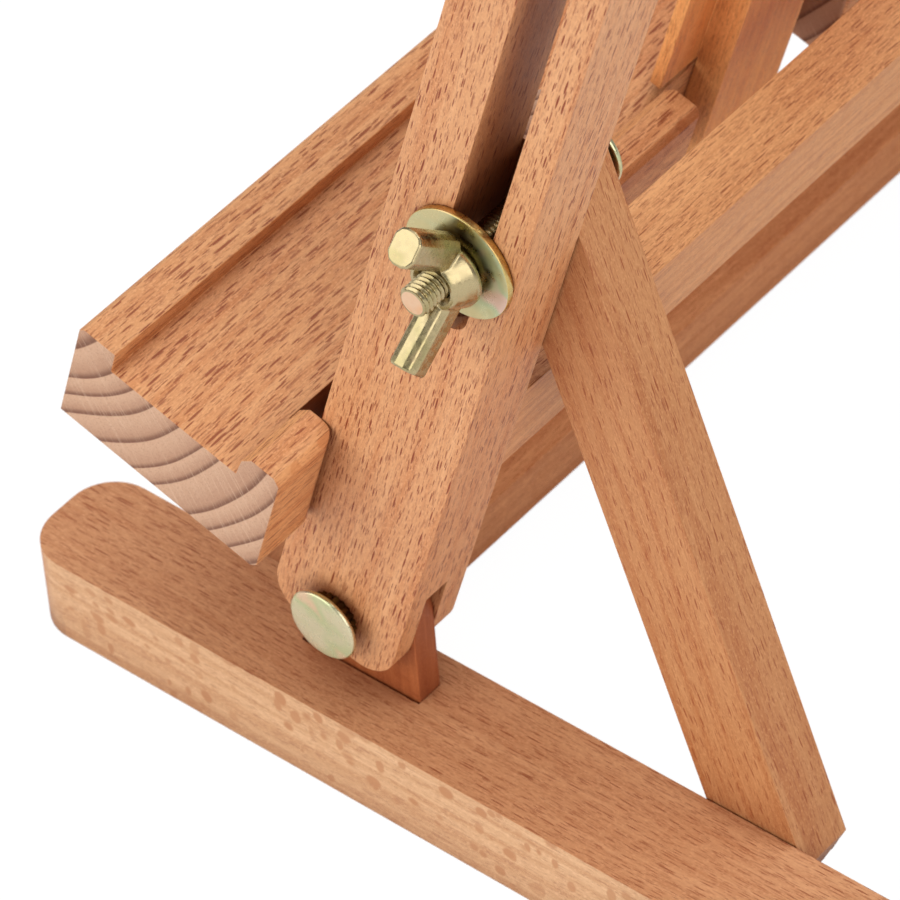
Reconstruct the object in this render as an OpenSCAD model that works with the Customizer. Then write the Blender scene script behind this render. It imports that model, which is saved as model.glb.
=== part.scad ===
// Tabletop H-frame easel, beech, with slotted uprights, struts and wing nuts.
// Millimetres. +Z up, +X to the painter's right, +Y to the back.
// Origin on the ground, midway between the feet and at the middle of their length.

/* [Base] */
// Length of each foot, front to back
foot_length = 270; // [200:400]
// Width of each foot
foot_width = 25; // [18:40]
// Height of each foot
foot_height = 19.5; // [14:30]
// Plan radius of the foot ends
foot_end_radius = 9.5; // [3:12]
// Distance from the front end of a foot to the hinge of the frame
hinge_from_front = 73.5; // [40:120]
// Height of the frame hinge above the ground
hinge_height = 38.8; // [30:60]
// Depth of the base cross rail, front to back
base_rail_depth = 26; // [15:40]
// Height of the base cross rail
base_rail_height = 11; // [8:18]
// Gap from the hinge line forward to the back face of the base cross rail
base_rail_setback = 11.5; // [0:40]

/* [Frame] */
// Clear width between the two uprights
clear_width = 222; // [160:320]
// Width of an upright, front to back
upright_width = 28; // [20:40]
// Thickness of an upright, left to right
upright_thickness = 17.4; // [12:25]
// Top of the uprights, measured along them from the hinge
upright_top = 345; // [280:500]
// Backward lean of the frame from the vertical, degrees
lean = 17.85; // [5:60]
// Width of the slot in each upright
slot_width = 8.8; // [7:12]
// Centre of the slot behind the middle of the upright
slot_offset = 2.95; // [-6:6]
// Lowest centre of the slot, measured along the upright
slot_low = 100.5; // [80:140]
// Highest centre of the slot, measured along the upright
slot_high = 228; // [200:260]
// Bottom edge of the lower crossbar, measured along the uprights
lower_bar_bottom = 46; // [35:120]
// Bottom edge of the upper crossbar, measured along the uprights
upper_bar_bottom = 308; // [240:400]
// Height of both crossbars
bar_height = 23.5; // [15:40]
// Thickness of both crossbars
bar_thickness = 13; // [8:20]

/* [Tray] */
// Overall length of the tray
tray_length = 289; // [220:400]
// Depth of the tray, front to back
tray_depth = 47; // [30:70]
// Thickness of the tray at its front lip
tray_thickness = 26; // [16:35]
// Depth of the pencil channel
channel_depth = 5; // [3:10]
// Width of the front lip
lip_width = 8.4; // [5:15]
// Width of the rear ridge
ridge_width = 9; // [5:15]
// How far the rear ridge stands above the front lip
ridge_rise = 1.6; // [0:4]

/* [Struts] */
// Length between the two pivots of a strut
strut_length = 144.9; // [120:200]
// Width of a strut
strut_width = 19.4; // [14:26]
// Thickness of a strut
strut_thickness = 12.4; // [8:18]
// Distance of the strut pivot behind the frame hinge
strut_behind = 83.9; // [60:140]

/* [Mast] */
// Width of the mast flange
mast_width = 46; // [30:60]
// Thickness of the mast flange
mast_flange = 2.5; // [2:5]
// Width of the mast rib
mast_rib_width = 23.5; // [18:35]
// Thickness of the mast rib
mast_rib = 6.5; // [5:12]
// Top of the mast, measured along the uprights
mast_top = 450; // [400:600]
// Height of the holder bolt, measured along the uprights
holder_at = 415; // [370:440]

/* [Hidden] */
$fn = 48;
gap = 0.05;
face_gap = 0.1;
hinge_y = hinge_from_front - foot_length / 2;
half_clear = clear_width / 2;
outer_x = half_clear + upright_thickness;
foot_outer_x = half_clear + foot_width;
uw = upright_width / 2;
// bolts
bolt_r = 3;
hole_r = bolt_r + gap;
head_r = 7.55;
head_t = 1.2;
collar_r = 5.2;
collar_t = 2.85;
cap_nut_r = 5.5;
cap_nut_t = 5;
nut_recess = 3;
nut_recess_r = 6;
// fork and hinge tab
inner_cheek = 6.2;
fork_gap = 6;
fork_depth = 15;
tab_thickness = 5.8;
tab_r = 14;
tab_x = half_clear + inner_cheek + (fork_gap - tab_thickness) / 2;
mortise_extra = 0.5;
mortise_depth = 12;
upright_foot = 8.6;
upright_corner = 8;
// strut
strut_pivot_z = 9.75;
strut_gap = 0.3;
strut_x = half_clear - strut_gap;
strut_tip = 8;
strut_cut = 1.4;
strut_nose = 0.7;
strut_beyond = 5;
dz = strut_pivot_z - hinge_height;
// place of the wing bolt on the upright for the chosen lean
pu = slot_offset;
pc = cos(lean);
ps = sin(lean);
qb = ps * (pu * pc - strut_behind) + pc * (-pu * ps - dz);
qc = pow(pu * pc - strut_behind, 2) + pow(-pu * ps - dz, 2) - pow(strut_length, 2);
wing_v = -qb + sqrt(qb * qb - qc);
wing_y = pu * pc + wing_v * ps;
wing_z = -pu * ps + wing_v * pc;
strut_angle = atan2(wing_y - strut_behind, wing_z - dz);
// wing nut and washer
washer_r = 11.25;
washer_t = 1.5;
hub_r = 7.15;
hub_top_r = 4.8;
hub_base_h = 2.6;
hub_h = 6.5;
wing_r = 3.3;
wing_tip_out = 14.7;
wing_tip_up = 13.5;
wing_root_out = 6.6;
wing_root_up = 4.2;
wing_bolt_beyond = 13.2;
wing_turn = 14;
thread_pitch = 1;
thread_depth = 0.32;
// dowels
dowel_r = 3;
dowel_hole_r = dowel_r + gap;
dowel_half = 12;
dowel_slack = 0.5;
// tray
tray_front = -57;
tray_back = tray_front + tray_depth;
tray_bottom = 20.8;
tray_top = tray_bottom + tray_thickness;
floor_v = tray_top - channel_depth;
ridge_front = tray_back - ridge_width;
upright_notch_fillet = 3.5;
mast_notch_fillet = 1;
notch_slack = 0.1;
mast_notch = 48;
// crossbars
lower_bar_back = uw - 0.2;
lower_bar_front = lower_bar_back - bar_thickness;
upper_bar_front = -13.4;
// mast
mast_back = upper_bar_front - face_gap;
mast_step = mast_back - mast_rib;
mast_front = mast_step - mast_flange;
mast_bottom = 16;
notch_front = mast_step - face_gap;
mast_slot_w = 6.8;
mast_slot_low = 166;
mast_slot_high = 434;
groove_w = 14.6;
groove_d = 3.4;
flange_bottom = floor_v + 2.2;
lock_v = upper_bar_bottom + bar_height / 2;
lock_head_r = 6.5;
lock_head_t = 2.9;
guide_w = 12;
guide_screw_r = 1.6;
guide_screw_head_r = 3.4;
guide_screw_head_t = 2;
guide_screw_l = 17;
guide_screw_step = 12;
tray_dowel_x = 6;
tray_dowel_v = 31.5;
tray_dowel_in_tray = 12;
tray_dowel_in_rib = 4.5;
// canvas holder
holder_w = 50;
holder_h = 22;
holder_t = 16;
holder_tongue_w = 14.2;
holder_tongue_t = 2.8;
holder_lip_t = 6;
holder_lip_drop = 12;
holder_front = mast_front - face_gap - holder_t;
holder_recess_r = 7;
holder_recess_d = 3.2;
holder_screw_x = 17;
holder_screw_l = 16;

module beech() { color([0.84, 0.60, 0.42]) children(); }
module dowelwood() { color([0.88, 0.72, 0.52]) children(); }
module zinc() { color([0.80, 0.73, 0.50]) children(); }

module side(s) {
    mirror([s < 0 ? 1 : 0, 0, 0]) children();
}

// coordinates along the leaning frame: x, across to the back, up along the uprights
module leaning() {
    translate([0, hinge_y, hinge_height]) rotate([-lean, 0, 0]) children();
}

module along_x(r, l) {
    rotate([0, 90, 0]) cylinder(r = r, h = l);
}

module along_y(r, l) {
    rotate([-90, 0, 0]) cylinder(r = r, h = l);
}

// ---------- base ----------

module foot_plan() {
    l = foot_length / 2 - foot_end_radius;
    x0 = half_clear + foot_end_radius;
    x1 = foot_outer_x - foot_end_radius;
    translate([half_clear, -l]) square([foot_width, 2 * l]);
    for (e = [-1, 1]) {
        translate([x0, e > 0 ? l : -l - foot_end_radius]) square([x1 - x0, foot_end_radius]);
        for (x = [x0, x1]) translate([x, e * l]) circle(r = foot_end_radius);
    }
}

module base_dowel_row(r, slack) {
    ym = hinge_y - base_rail_setback - base_rail_depth / 2;
    for (d = [-7, 7])
        translate([half_clear - dowel_half - slack, ym + d, foot_height / 2 - 0.75])
            along_x(r, 2 * dowel_half + 2 * slack);
}

module foot(s) {
    side(s) difference() {
        linear_extrude(height = foot_height) foot_plan();
        translate([tab_x, hinge_y - tab_r - gap, foot_height - mortise_depth])
            cube([tab_thickness + mortise_extra, 2 * (tab_r + gap), mortise_depth + 1]);
        base_dowel_row(dowel_hole_r, dowel_slack);
        translate([half_clear - 1, hinge_y + strut_behind, strut_pivot_z])
            along_x(hole_r, foot_width + 2);
    }
}

module hinge_tab(s) {
    side(s) difference() {
        union() {
            translate([tab_x, hinge_y - tab_r, foot_height - mortise_depth + gap])
                cube([tab_thickness, 2 * tab_r, hinge_height - foot_height + mortise_depth - gap]);
            translate([tab_x, hinge_y, hinge_height]) along_x(tab_r, tab_thickness);
        }
        translate([tab_x - 1, hinge_y, hinge_height]) along_x(hole_r, tab_thickness + 2);
    }
}

module base_cross_rail() {
    rail_z = foot_height / 2 - 0.75 - base_rail_height / 2;
    difference() {
        translate([-half_clear + gap, hinge_y - base_rail_setback - base_rail_depth, rail_z])
            cube([2 * (half_clear - gap), base_rail_depth, base_rail_height]);
        for (s = [-1, 1]) side(s) base_dowel_row(dowel_hole_r, dowel_slack);
    }
}

module base_rail_dowels() {
    for (s = [-1, 1]) side(s) base_dowel_row(dowel_r, 0);
}

// round flat head, serrated collar and plain shank; the shank runs towards -x
module flat_head_bolt(shank) {
    translate([collar_t, 0, 0]) along_x(head_r, head_t);
    along_x(collar_r, collar_t + 0.2);
    translate([-shank, 0, 0]) along_x(bolt_r, shank + 1);
}

module cap_nut() {
    difference() {
        union() {
            rotate([0, 90, 0]) cylinder(r = cap_nut_r, h = cap_nut_t - 1.4, $fn = 6);
            translate([-1.4, 0, 0]) along_x(cap_nut_r - 1, 1.6);
        }
        translate([0.4, 0, 0]) along_x(hole_r, cap_nut_t);
    }
}

module hinge_bolt(s) {
    side(s) translate([outer_x + gap, hinge_y, hinge_height])
        flat_head_bolt(upright_thickness + gap + 2.8);
}

module hinge_cap_nut(s) {
    side(s) translate([half_clear - gap - cap_nut_t + 1.4, hinge_y, hinge_height]) cap_nut();
}

module strut_foot_bolt(s) {
    side(s) translate([foot_outer_x + gap, hinge_y + strut_behind, strut_pivot_z])
        flat_head_bolt(foot_width + strut_gap + strut_thickness + 3 - nut_recess);
}

module strut_foot_nut(s) {
    x = strut_x - strut_thickness + nut_recess - gap - cap_nut_t + 1.4;
    side(s) translate([x, hinge_y + strut_behind, strut_pivot_z]) cap_nut();
}

// ---------- leaning frame ----------

module upright_outline() {
    r = upright_corner;
    difference() {
        union() {
            translate([-uw, r - upright_foot]) square([2 * uw, upright_top + upright_foot - r]);
            translate([r - uw, -upright_foot]) square([2 * (uw - r), r + 1]);
            for (y = [-1, 1]) translate([y * (uw - r), r - upright_foot]) circle(r = r);
        }
        circle(r = hole_r);
        translate([slot_offset - slot_width / 2, slot_low]) square([slot_width, slot_high - slot_low]);
        for (v = [slot_low, slot_high]) translate([slot_offset, v]) circle(d = slot_width);
    }
}

// turns a drawing in the across / along plane into a plate of thickness t starting at x
module plate(x, t) {
    translate([x, 0, 0]) rotate([90, 0, 90]) linear_extrude(height = t) children();
}

module bar_dowel_pair(u, v, r, slack) {
    for (d = [-6, 6])
        translate([half_clear - dowel_half - slack, u, v + d])
            along_x(r, 2 * dowel_half + 2 * slack);
}

module all_bar_dowels(r, slack) {
    bar_dowel_pair(lower_bar_front + bar_thickness / 2, lower_bar_bottom + bar_height / 2, r, slack);
    bar_dowel_pair(upper_bar_front + bar_thickness / 2, upper_bar_bottom + bar_height / 2, r, slack);
}

module upright(s) {
    side(s) leaning() difference() {
        plate(half_clear, upright_thickness) upright_outline();
        translate([half_clear + inner_cheek, -uw - 1, -upright_foot - 1])
            cube([fork_gap, 2 * uw + 2, upright_foot + 1 + fork_depth]);
        all_bar_dowels(dowel_hole_r, dowel_slack);
    }
}

module crossbar_blank(front, bottom) {
    translate([-half_clear + gap, front, bottom])
        cube([2 * (half_clear - gap), bar_thickness, bar_height]);
}

module lower_crossbar() {
    leaning() difference() {
        crossbar_blank(lower_bar_front, lower_bar_bottom);
        for (s = [-1, 1]) side(s) all_bar_dowels(dowel_hole_r, dowel_slack);
    }
}

module guide_screw_places() {
    for (s = [-1, 1])
        for (d = [-1, 1])
            translate([s * (mast_width / 2 + 0.2 + guide_w / 2), mast_front,
                       lock_v + d * guide_screw_step / 2])
                children();
}

module upper_crossbar() {
    leaning() difference() {
        crossbar_blank(upper_bar_front, upper_bar_bottom);
        for (s = [-1, 1]) side(s) all_bar_dowels(dowel_hole_r, dowel_slack);
        translate([0, upper_bar_front - 1, lock_v]) along_y(hole_r, bar_thickness + 2);
        guide_screw_places() along_y(guide_screw_r + gap, guide_screw_l + 0.5);
    }
}

module crossbar_dowels() {
    for (s = [-1, 1]) side(s) leaning() all_bar_dowels(dowel_r, 0);
}

module tray_section() {
    polygon([[tray_front, tray_bottom], [tray_back - 1.2, tray_bottom], [tray_back, tray_bottom + 1.2],
             [tray_back, tray_top + ridge_rise - 1.4], [tray_back - 1.4, tray_top + ridge_rise],
             [ridge_front + 2.4, tray_top + ridge_rise], [ridge_front + 0.4, tray_top - 0.6],
             [ridge_front, floor_v], [tray_front + lip_width, floor_v],
             [tray_front + lip_width, tray_top], [tray_front + 1, tray_top], [tray_front, tray_top - 1]]);
}

// plan of a notch through the rear of the tray, its mouth eased on both sides
module notch_plan(x0, x1, front, r) {
    mouth = tray_back - r;
    translate([x0, front]) square([x1 - x0, tray_back - front + 1]);
    difference() {
        translate([x0 - r, mouth]) square([r + 0.1, r + 1]);
        translate([x0 - r, mouth]) circle(r = r);
    }
    difference() {
        translate([x1 - 0.1, mouth]) square([r + 0.1, r + 1]);
        translate([x1 + r, mouth]) circle(r = r);
    }
}

// the rear notches let the tray run up and down the uprights with the mast
module canvas_tray() {
    n0 = half_clear - notch_slack;
    n1 = outer_x + notch_slack;
    leaning() difference() {
        plate(-tray_length / 2, tray_length) tray_section();
        translate([0, 0, tray_bottom - 1]) linear_extrude(height = tray_thickness + 10) {
            notch_plan(n0, n1, notch_front, upright_notch_fillet);
            notch_plan(-n1, -n0, notch_front, upright_notch_fillet);
            notch_plan(-mast_notch / 2, mast_notch / 2, notch_front, mast_notch_fillet);
        }
        tray_dowel_pair(dowel_hole_r, dowel_slack);
    }
}

// blind dowels between the tray and the foot of the mast
module tray_dowel_pair(r, slack) {
    for (s = [-1, 1])
        translate([s * tray_dowel_x, mast_step - tray_dowel_in_tray - slack, tray_dowel_v])
            along_y(r, tray_dowel_in_tray + tray_dowel_in_rib + 2 * slack);
}

module tray_dowels() {
    leaning() tray_dowel_pair(dowel_r, 0);
}

module mast_guide(s) {
    side(s) leaning() difference() {
        translate([mast_width / 2 + 0.2, mast_front, upper_bar_bottom])
            cube([guide_w, upper_bar_front - gap - mast_front, bar_height]);
        guide_screw_places() {
            along_y(guide_screw_r + gap, guide_screw_l);
            translate([0, -1, 0]) along_y(guide_screw_head_r + gap, guide_screw_head_t + 1 + gap);
        }
    }
}

module pan_screw(r, l, hr, ht) {
    difference() {
        union() {
            along_y(hr, ht);
            along_y(r, l);
        }
        for (a = [0, 90]) rotate([0, a, 0]) translate([-hr * 0.55, -1, -0.4]) cube([hr * 1.1, 1.8, 0.8]);
    }
}

module mast_guide_screws() {
    leaning() guide_screw_places()
        pan_screw(guide_screw_r, guide_screw_l, guide_screw_head_r, guide_screw_head_t);
}

// threaded rod along +x from 0 to l, rings standing for the thread over the last part
module threaded(l, thread_l) {
    n = floor(thread_l / thread_pitch);
    core = bolt_r - thread_depth;
    start = l - n * thread_pitch;
    along_x(bolt_r, start);
    translate([start - 0.1, 0, 0]) along_x(core, l - start + 0.1);
    for (i = [0 : n - 2]) translate([start + i * thread_pitch, 0, 0]) rotate([0, 90, 0])
        rotate_extrude() polygon([[core - 0.3, 0], [core, 0.02], [bolt_r, 0.4], [bolt_r, 0.56],
                                  [core, 0.96], [core - 0.3, 0.98]]);
}

module washer() {
    difference() {
        along_x(washer_r, washer_t);
        translate([-1, 0, 0]) along_x(hole_r + 0.15, washer_t + 2);
    }
}

// wing nut seated on x = 0 with its axis along +x and its wings in the z direction
module wing_nut() {
    dr = wing_tip_out - wing_root_out;
    dh = wing_tip_up - wing_root_up;
    difference() {
        union() {
            along_x(hub_r, hub_base_h);
            translate([hub_base_h, 0, 0]) rotate([0, 90, 0])
                cylinder(r1 = hub_r, r2 = hub_top_r, h = hub_h - hub_base_h);
            for (s = [-1, 1]) translate([wing_root_up, 0, s * wing_root_out])
                rotate([0, 90 - s * atan2(dr, dh), 0])
                    cylinder(r = wing_r, h = sqrt(dr * dr + dh * dh));
        }
        translate([-1, 0, 0]) along_x(hole_r, hub_h + 20);
    }
}

module mast_lock_bolt() {
    head = mast_front + groove_d - face_gap;
    leaning() translate([0, head - lock_head_t, lock_v]) rotate([0, 0, 90]) {
        along_x(lock_head_r, lock_head_t);
        threaded(lock_head_t + 34.5, 14);
    }
}

module mast_lock_washer() {
    leaning() translate([0, upper_bar_front + bar_thickness + gap, lock_v]) rotate([0, 0, 90]) washer();
}

module mast_lock_wing_nut() {
    leaning() translate([0, upper_bar_front + bar_thickness + washer_t + 2 * gap, lock_v])
        rotate([0, 0, 90]) rotate([90, 0, 0]) wing_nut();
}

// ---------- mast and canvas holder ----------

module mast() {
    leaning() difference() {
        union() {
            translate([-mast_rib_width / 2, mast_front, mast_bottom])
                cube([mast_rib_width, mast_flange + mast_rib, mast_top - mast_bottom]);
            translate([-mast_width / 2, mast_front, flange_bottom])
                cube([mast_width, mast_flange, mast_top - flange_bottom]);
        }
        translate([-mast_rib_width, mast_front - 1, mast_bottom - 1])
            cube([2 * mast_rib_width, mast_flange + 1, flange_bottom - mast_bottom + 1]);
        tray_dowel_pair(dowel_hole_r, dowel_slack);
        translate([-groove_w / 2, mast_front - 1, mast_slot_low - 4])
            cube([groove_w, groove_d + 1, mast_slot_high - mast_slot_low + 8]);
        translate([-mast_slot_w / 2, mast_front - 1, mast_slot_low])
            cube([mast_slot_w, 20, mast_slot_high - mast_slot_low]);
        for (v = [mast_slot_low, mast_slot_high])
            translate([0, mast_front - 1, v]) along_y(mast_slot_w / 2, 20);
    }
}

module holder_screw_places() {
    for (s = [-1, 1]) translate([s * holder_screw_x, holder_front - holder_lip_t, holder_at]) children();
}

module canvas_holder_block() {
    leaning() difference() {
        union() {
            translate([-holder_w / 2, holder_front, holder_at - holder_h / 2])
                cube([holder_w, holder_t, holder_h]);
            translate([-holder_tongue_w / 2, mast_front - 1, holder_at - holder_h / 2])
                cube([holder_tongue_w, holder_tongue_t + 1, holder_h]);
        }
        translate([0, holder_front - 1, holder_at]) along_y(hole_r, holder_t + 10);
        translate([0, holder_front - 1, holder_at]) along_y(holder_recess_r, holder_recess_d + 1);
        holder_screw_places() along_y(guide_screw_r + gap, holder_screw_l + 0.5);
    }
}

module canvas_holder_lip() {
    leaning() difference() {
        translate([-holder_w / 2, holder_front - holder_lip_t, holder_at - holder_h / 2 - holder_lip_drop])
            cube([holder_w, holder_lip_t - gap, holder_h + holder_lip_drop]);
        holder_screw_places() {
            along_y(guide_screw_r + gap, holder_screw_l);
            translate([0, -1, 0]) along_y(guide_screw_head_r + gap, guide_screw_head_t + 1 + gap);
        }
    }
}

module canvas_holder_screws() {
    leaning() holder_screw_places()
        pan_screw(guide_screw_r, holder_screw_l, guide_screw_head_r, guide_screw_head_t);
}

module canvas_holder_bolt() {
    leaning() translate([0, holder_front + holder_recess_d - lock_head_t, holder_at])
        rotate([0, 0, 90]) {
            along_x(lock_head_r, lock_head_t);
            threaded(lock_head_t + 36, 14);
        }
}

module canvas_holder_washer() {
    leaning() translate([0, mast_back + gap, holder_at]) rotate([0, 0, 90]) washer();
}

module canvas_holder_wing_nut() {
    leaning() translate([0, mast_back + washer_t + 2 * gap, holder_at])
        rotate([0, 0, 90]) rotate([90, 0, 0]) wing_nut();
}

// ---------- struts ----------

module strut_outline() {
    w = strut_width / 2;
    difference() {
        union() {
            polygon([[-w, strut_cut], [-strut_nose, -strut_tip], [strut_nose, -strut_tip], [w, strut_cut],
                     [w, strut_length + strut_beyond], [-w, strut_length + strut_beyond]]);
            translate([0, strut_length + strut_beyond]) circle(r = w);
        }
        circle(r = hole_r);
        translate([0, strut_length]) circle(r = hole_r);
    }
}

module strut_place(s) {
    side(s) translate([0, hinge_y + strut_behind, strut_pivot_z]) rotate([-strut_angle, 0, 0]) children();
}

module strut(s) {
    strut_place(s) difference() {
        plate(strut_x - strut_thickness, strut_thickness) strut_outline();
        translate([strut_x - strut_thickness - 1, 0, 0]) along_x(nut_recess_r, nut_recess + 1);
    }
}

module strut_top_bolt(s) {
    strut_place(s) translate([strut_x - strut_thickness - gap, 0, strut_length])
        mirror([1, 0, 0]) flat_head_bolt(strut_thickness - 0.2);
}

// ---------- wing bolts that set the lean ----------

module wing_place(s, x) {
    side(s) leaning() translate([x, slot_offset, wing_v]) children();
}

module lean_bolt(s) {
    wing_place(s, half_clear + gap)
        threaded(upright_thickness + wing_bolt_beyond - gap, 26);
}

module lean_washer(s) {
    wing_place(s, outer_x + gap) washer();
}

module lean_wing_nut(s) {
    wing_place(s, outer_x + washer_t + 2 * gap) rotate([wing_turn, 0, 0]) wing_nut();
}

beech() foot(1);  // foot_right
beech() foot(-1);  // foot_left
beech() hinge_tab(1);  // hinge_tab_right
beech() hinge_tab(-1);  // hinge_tab_left
beech() base_cross_rail();
dowelwood() base_rail_dowels();
zinc() hinge_bolt(1);  // hinge_bolt_right
zinc() hinge_bolt(-1);  // hinge_bolt_left
zinc() hinge_cap_nut(1);  // hinge_cap_nut_right
zinc() hinge_cap_nut(-1);  // hinge_cap_nut_left
zinc() strut_foot_bolt(1);  // strut_foot_bolt_right
zinc() strut_foot_bolt(-1);  // strut_foot_bolt_left
zinc() strut_foot_nut(1);  // strut_foot_nut_right
zinc() strut_foot_nut(-1);  // strut_foot_nut_left
beech() upright(1);  // upright_right
beech() upright(-1);  // upright_left
beech() lower_crossbar();
beech() upper_crossbar();
dowelwood() crossbar_dowels();
beech() canvas_tray();
dowelwood() tray_dowels();
beech() mast_guide(1);  // mast_guide_right
beech() mast_guide(-1);  // mast_guide_left
zinc() mast_guide_screws();
zinc() mast_lock_bolt();
zinc() mast_lock_washer();
zinc() mast_lock_wing_nut();
beech() mast();
beech() canvas_holder_block();
beech() canvas_holder_lip();
zinc() canvas_holder_screws();
zinc() canvas_holder_bolt();
zinc() canvas_holder_washer();
zinc() canvas_holder_wing_nut();
beech() strut(1);  // strut_right
beech() strut(-1);  // strut_left
zinc() strut_top_bolt(1);  // strut_top_bolt_right
zinc() strut_top_bolt(-1);  // strut_top_bolt_left
zinc() lean_bolt(1);  // lean_bolt_right
zinc() lean_bolt(-1);  // lean_bolt_left
zinc() lean_washer(1);  // lean_washer_right
zinc() lean_washer(-1);  // lean_washer_left
zinc() lean_wing_nut(1);  // lean_wing_nut_right
zinc() lean_wing_nut(-1);  // lean_wing_nut_left
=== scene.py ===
import math

import bmesh
import bpy
from mathutils import Matrix, Vector


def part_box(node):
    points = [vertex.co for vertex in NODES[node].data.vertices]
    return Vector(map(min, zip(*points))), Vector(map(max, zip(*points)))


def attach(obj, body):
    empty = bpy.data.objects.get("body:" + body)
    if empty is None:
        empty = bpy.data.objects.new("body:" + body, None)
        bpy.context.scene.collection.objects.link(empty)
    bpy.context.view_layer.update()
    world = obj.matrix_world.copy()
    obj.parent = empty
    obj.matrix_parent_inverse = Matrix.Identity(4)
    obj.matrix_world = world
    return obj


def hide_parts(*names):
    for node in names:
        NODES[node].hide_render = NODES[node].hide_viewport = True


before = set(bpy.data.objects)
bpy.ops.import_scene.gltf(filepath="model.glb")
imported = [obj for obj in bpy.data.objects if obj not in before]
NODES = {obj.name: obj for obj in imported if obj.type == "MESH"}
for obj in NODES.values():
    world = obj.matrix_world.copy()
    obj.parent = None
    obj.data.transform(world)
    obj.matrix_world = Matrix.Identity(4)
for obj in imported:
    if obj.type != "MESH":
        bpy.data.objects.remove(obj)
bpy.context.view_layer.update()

# ---------------------------------------------------------------- sizes, in mm and degrees
# x runs to the painter's right, y to the back and z up
# on what leans, v runs up along the upright and u out of its back, both from the hinge line
HALF_CLEAR = 111.0  # from the middle to the inner faces of uprights and feet
UPRIGHT_T = 17.4
FOOT_W = 25.0
OUTER_X = HALF_CLEAR + UPRIGHT_T
FOOT_OUTER_X = HALF_CLEAR + FOOT_W
HINGE_Y = -61.5
HINGE_Z = 38.8
LEAN = 17.85
SLOT_OFFSET = 2.95  # u of the slot's middle
STRUT_BEHIND = 83.9  # from the hinge back to the strut's foot bolt
STRUT_Z = 9.75  # height of the strut's foot bolt
STRUT_LEN = 144.9  # between its two bolts
STRUT_T = 12.4
STRUT_GAP = 0.3
STRUT_X = HALF_CLEAR - STRUT_GAP
GAP = 0.05  # left between a piece of hardware and what it lies on

UPPER_BAR_BACK = -0.4  # u of the faces that the hardware of mast and holder lies on
MAST_BACK = -13.5
MAST_FRONT = -22.5
MAST_GROOVE = 3.4
GROOVE_GAP = 0.1
HOLDER_FRONT = -38.6
HOLDER_RECESS = 3.2
LIP_T = 6.0
LOCK_V = 319.75
HOLDER_V = 415.0

BOLT_R = 3.0
PITCH = 1.0
THREAD_DEPTH = 0.46
END_CUT_R = 2.3  # the flat disc on a thread's free end
WING_BOLT_L = UPRIGHT_T + 13.1
HINGE_BOLT_L = UPRIGHT_T + 2.8
HEAD_R, HEAD_T = 7.55, 1.2
COLLAR_R, COLLAR_T = 5.2, 2.85
CARRIAGE_R, CARRIAGE_T = 6.5, 2.9
WASHER_R, WASHER_T = 11.25, 1.5
CAP_NUT_R, CAP_NUT_T = 5.5, 3.6
NUT_RECESS = 3.0
FOOT_BOLT_L = FOOT_W + STRUT_GAP + STRUT_T + 2.9 - NUT_RECESS
WING_TURN = 14.0  # how far the wings of the side nuts are turned at rest
GUIDE_SCREW_X, GUIDE_SCREW_V, GUIDE_SCREW_L = 29.2, 6.0, 17.0
LIP_SCREW_X, LIP_SCREW_L = 17.0, 16.0

CL, SL = math.cos(math.radians(LEAN)), math.sin(math.radians(LEAN))
# place of the wing bolt along the upright, where the strut's top meets the slot
_a = SLOT_OFFSET * CL - STRUT_BEHIND
_b = -SLOT_OFFSET * SL - (STRUT_Z - HINGE_Z)
_q = SL * _a + CL * _b
WING_V = -_q + math.sqrt(_q * _q - _a * _a - _b * _b + STRUT_LEN**2)
WING_Y = SLOT_OFFSET * CL + WING_V * SL
WING_Z = -SLOT_OFFSET * SL + WING_V * CL
STRUT_ANGLE = math.atan2(WING_Y - STRUT_BEHIND, WING_Z - (STRUT_Z - HINGE_Z))

X_AXIS = Vector((1, 0, 0))
Y_AXIS = Vector((0, 1, 0))
Z_AXIS = Vector((0, 0, 1))
V_AXIS = Vector((0, SL, CL))
U_AXIS = Vector((0, CL, -SL))
STRUT_AXIS = Vector((0, math.sin(STRUT_ANGLE), math.cos(STRUT_ANGLE)))
STRUT_NORMAL = Vector((0, math.cos(STRUT_ANGLE), -math.sin(STRUT_ANGLE)))

MM = Matrix.Scale(0.001, 4)
AS_DRAWN = Matrix.Identity(4)


def shift(x, y, z):
    return Matrix.Translation(Vector((x, y, z)))


def turn(degrees, axis):
    return Matrix.Rotation(math.radians(degrees), 4, axis)


def both(a, b, share=0.5):
    """A direction between two directions, nearer to the second as its share grows."""
    return (a * (1 - share) + b * share).normalized()


LEANING = shift(0, HINGE_Y, HINGE_Z) @ turn(-LEAN, "X")
HALF_TURN = turn(180, "Z")
X_TO_Y = turn(90, "Z")


# ---------------------------------------------------------------- shader helpers
def srgb(r, g, b):
    def lin(c):
        c = c / 255.0
        return c / 12.92 if c <= 0.04045 else ((c + 0.055) / 1.055) ** 2.4

    return (lin(r), lin(g), lin(b), 1.0)


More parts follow.
